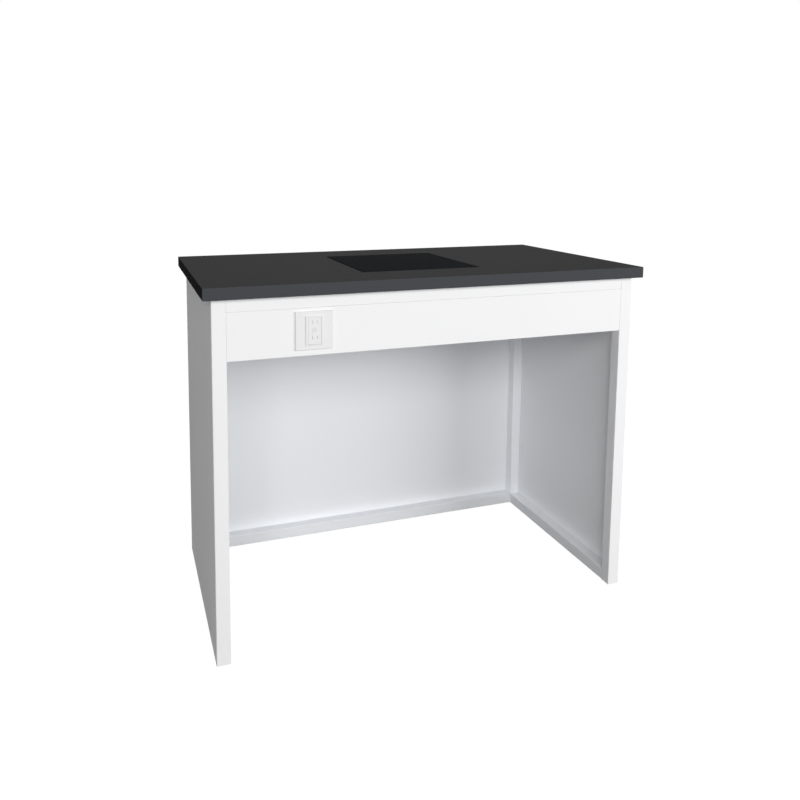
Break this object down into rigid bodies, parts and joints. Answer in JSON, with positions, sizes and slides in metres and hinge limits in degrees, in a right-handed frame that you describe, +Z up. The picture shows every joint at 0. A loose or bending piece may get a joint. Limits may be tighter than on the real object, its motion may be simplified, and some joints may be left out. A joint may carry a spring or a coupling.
{
  "type": "balance table",
  "caption": "Freestanding balance table: white steel base with an open knee space, black resin worktop with an isolated slab set level in its middle, and a power outlet on the apron.",
  "frame": {"origin": "on the floor under the middle of the worktop", "axes": "+X to the right along the long side seen from the front, +Y to the back, +Z up"},
  "size_m": [1.2192, 0.6096, 0.9398],
  "materials": {
    "white_powder_coat": "satin",
    "black_epoxy_resin": "matte",
    "black_granite": "satin",
    "zinc_plated_steel": "satin",
    "isolator_rubber": "matte",
    "white_moulded_plastic": "satin",
    "grey_nylon": "matte"
  },
  "bodies": {
    "base": {"worktop": "black_epoxy_resin", "isolator_front_left": "isolator_rubber", "isolator_front_right": "isolator_rubber", "isolator_rear_left": "isolator_rubber", "isolator_rear_right": "isolator_rubber", "slab_cradle": "zinc_plated_steel", "cradle_bolt_front_left": "zinc_plated_steel", "cradle_bolt_front_right": "zinc_plated_steel", "cradle_bolt_rear_left": "zinc_plated_steel", "cradle_bolt_rear_right": "zinc_plated_steel", "support_rail_left": "white_powder_coat", "support_rail_right": "white_powder_coat", "left_end_skin": "white_powder_coat", "left_front_post": "white_powder_coat", "left_rear_post": "white_powder_coat", "left_end_bottom_rail": "white_powder_coat", "left_end_top_rail": "white_powder_coat", "right_end_skin": "white_powder_coat", "right_front_post": "white_powder_coat", "right_rear_post": "white_powder_coat", "right_end_bottom_rail": "white_powder_coat", "right_end_top_rail": "white_powder_coat", "back_skin": "white_powder_coat", "back_bottom_rail": "white_powder_coat", "back_top_rail": "white_powder_coat", "front_top_rail": "white_powder_coat", "apron_panel": "white_powder_coat", "apron_bracket_left": "white_powder_coat", "apron_bracket_right": "white_powder_coat", "outlet_cover": "white_moulded_plastic", "receptacle": "white_moulded_plastic", "receptacle_yoke": "zinc_plated_steel", "yoke_screw_lower": "zinc_plated_steel", "yoke_screw_upper": "zinc_plated_steel", "outlet_box": "zinc_plated_steel", "cable_gland": "grey_nylon", "gland_nut": "zinc_plated_steel", "foot_insert_front_left": "zinc_plated_steel", "foot_insert_front_right": "zinc_plated_steel", "foot_insert_rear_left": "zinc_plated_steel", "foot_insert_rear_right": "zinc_plated_steel"},
    "slab": {"balance_slab": "black_granite"},
    "test_button": {"test_button": "white_moulded_plastic"},
    "reset_button": {"reset_button": "white_moulded_plastic"},
    "foot_front_left": {"levelling_foot_front_left": "zinc_plated_steel"},
    "foot_front_right": {"levelling_foot_front_right": "zinc_plated_steel"},
    "foot_rear_left": {"levelling_foot_rear_left": "zinc_plated_steel"},
    "foot_rear_right": {"levelling_foot_rear_right": "zinc_plated_steel"}
  },
  "joints": [
    {"name": "slab_float", "type": "slide", "parent": "base", "child": "slab", "axis": [0, 0, 1], "range_m": [-0.003, 0], "stiffness_N_per_m": 75000, "springref_m": 0.0025, "deforming": ["isolator_front_left", "isolator_front_right", "isolator_rear_left", "isolator_rear_right"]},
    {"name": "test_press", "type": "slide", "parent": "base", "child": "test_button", "axis": [0, 1, 0], "range_m": [0, 0.0012], "stiffness_N_per_m": 1000, "springref_m": -0.002},
    {"name": "reset_press", "type": "slide", "parent": "base", "child": "reset_button", "axis": [0, 1, 0], "range_m": [0, 0.0012], "stiffness_N_per_m": 1000, "springref_m": -0.002},
    {"name": "foot_front_left_screw", "type": "slide", "parent": "base", "child": "foot_front_left", "axis": [0, 0, -1], "range_m": [0, 0.015]},
    {"name": "foot_front_right_screw", "type": "slide", "parent": "base", "child": "foot_front_right", "axis": [0, 0, -1], "range_m": [0, 0.015]},
    {"name": "foot_rear_left_screw", "type": "slide", "parent": "base", "child": "foot_rear_left", "axis": [0, 0, -1], "range_m": [0, 0.015]},
    {"name": "foot_rear_right_screw", "type": "slide", "parent": "base", "child": "foot_rear_right", "axis": [0, 0, -1], "range_m": [0, 0.015]}
  ]
}
